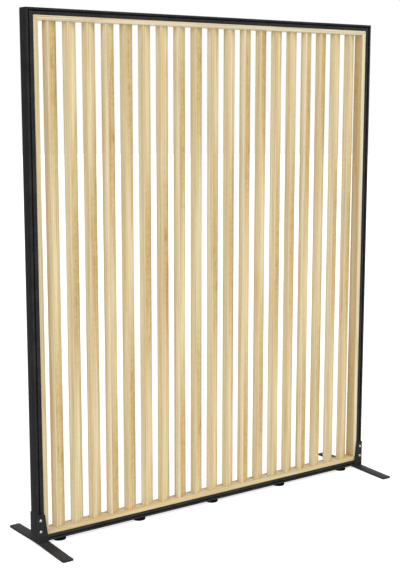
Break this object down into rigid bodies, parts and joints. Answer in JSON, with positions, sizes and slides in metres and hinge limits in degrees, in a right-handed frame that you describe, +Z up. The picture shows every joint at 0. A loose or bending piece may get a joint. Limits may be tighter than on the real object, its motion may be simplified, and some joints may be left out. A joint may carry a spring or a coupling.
{
  "type": "slatted room divider",
  "caption": "Free-standing room divider: black grooved metal frame on flat steel feet and levelling glides, lined with pale timber and filled with vertical slats set at an angle.",
  "frame": {"origin": "on the floor, midway along the width and the depth of the frame", "axes": "+X along the width to the viewer's right, -Y towards the front, +Z up"},
  "size_m": [1.5, 0.4, 1.796],
  "materials": {
    "black_profile": "satin",
    "black_steel": "satin",
    "liner_timber": "satin",
    "slat_timber": "satin",
    "dowel_timber": "matte",
    "key_aluminium": "satin",
    "zinc_steel": "satin",
    "bolt_steel": "polished",
    "glide_plastic": "matte"
  },
  "bodies": {
    "frame": {"left_post": "black_profile", "right_post": "black_profile", "top_rail": "black_profile", "bottom_rail": "black_profile", "corner_key_bottom_left": "key_aluminium", "corner_key_bottom_right": "key_aluminium", "corner_key_top_left": "key_aluminium", "corner_key_top_right": "key_aluminium", "corner_key_screws": "zinc_steel", "liner_left": "liner_timber", "liner_right": "liner_timber", "liner_top": "liner_timber", "liner_bottom": "liner_timber", "liner_corner_dowels": "dowel_timber", "slat_01": "slat_timber", "slat_02": "slat_timber", "slat_03": "slat_timber", "slat_04": "slat_timber", "slat_05": "slat_timber", "slat_06": "slat_timber", "slat_07": "slat_timber", "slat_08": "slat_timber", "slat_09": "slat_timber", "slat_10": "slat_timber", "slat_11": "slat_timber", "slat_12": "slat_timber", "slat_13": "slat_timber", "slat_14": "slat_timber", "slat_15": "slat_timber", "slat_16": "slat_timber", "slat_17": "slat_timber", "slat_18": "slat_timber", "slat_19": "slat_timber", "slat_dowels_top": "dowel_timber", "slat_dowels_bottom": "dowel_timber", "foot_bar_left": "black_steel", "foot_bar_right": "black_steel", "foot_plate_left_front": "black_steel", "foot_plate_left_back": "black_steel", "foot_plate_right_front": "black_steel", "foot_plate_right_back": "black_steel", "foot_bolts": "bolt_steel", "groove_nuts": "zinc_steel", "glide_inserts": "zinc_steel"},
    "pad_1": {"glide_pad_1": "glide_plastic"},
    "stud_1": {"glide_stud_1": "zinc_steel"},
    "pad_2": {"glide_pad_2": "glide_plastic"},
    "stud_2": {"glide_stud_2": "zinc_steel"},
    "pad_3": {"glide_pad_3": "glide_plastic"},
    "stud_3": {"glide_stud_3": "zinc_steel"},
    "pad_4": {"glide_pad_4": "glide_plastic"},
    "stud_4": {"glide_stud_4": "zinc_steel"},
    "pad_5": {"glide_pad_5": "glide_plastic"},
    "stud_5": {"glide_stud_5": "zinc_steel"}
  },
  "joints": [
    {"name": "glide_1_lift", "type": "slide", "parent": "frame", "child": "pad_1", "axis": [0, 0, 1], "range_m": [-0.012, 0.0008]},
    {"name": "glide_1_turn", "type": "hinge", "parent": "pad_1", "child": "stud_1", "pos_m": [-0.654, 0, 0.011], "axis": [0, 0, 1], "range_deg": [-3460, 235]},
    {"name": "glide_2_lift", "type": "slide", "parent": "frame", "child": "pad_2", "axis": [0, 0, 1], "range_m": [-0.012, 0.0008]},
    {"name": "glide_2_turn", "type": "hinge", "parent": "pad_2", "child": "stud_2", "pos_m": [-0.327, 0, 0.011], "axis": [0, 0, 1], "range_deg": [-3460, 235]},
    {"name": "glide_3_lift", "type": "slide", "parent": "frame", "child": "pad_3", "axis": [0, 0, 1], "range_m": [-0.012, 0.0008]},
    {"name": "glide_3_turn", "type": "hinge", "parent": "pad_3", "child": "stud_3", "pos_m": [0, 0, 0.011], "axis": [0, 0, 1], "range_deg": [-3460, 235]},
    {"name": "glide_4_lift", "type": "slide", "parent": "frame", "child": "pad_4", "axis": [0, 0, 1], "range_m": [-0.012, 0.0008]},
    {"name": "glide_4_turn", "type": "hinge", "parent": "pad_4", "child": "stud_4", "pos_m": [0.327, 0, 0.011], "axis": [0, 0, 1], "range_deg": [-3460, 235]},
    {"name": "glide_5_lift", "type": "slide", "parent": "frame", "child": "pad_5", "axis": [0, 0, 1], "range_m": [-0.012, 0.0008]},
    {"name": "glide_5_turn", "type": "hinge", "parent": "pad_5", "child": "stud_5", "pos_m": [0.654, 0, 0.011], "axis": [0, 0, 1], "range_deg": [-3460, 235]}
  ],
  "couplings": [
    {"joint": "glide_1_turn", "follows": "glide_1_lift", "rad_per_m": 5026.5},
    {"joint": "glide_2_turn", "follows": "glide_2_lift", "rad_per_m": 5026.5},
    {"joint": "glide_3_turn", "follows": "glide_3_lift", "rad_per_m": 5026.5},
    {"joint": "glide_4_turn", "follows": "glide_4_lift", "rad_per_m": 5026.5},
    {"joint": "glide_5_turn", "follows": "glide_5_lift", "rad_per_m": 5026.5}
  ]
}
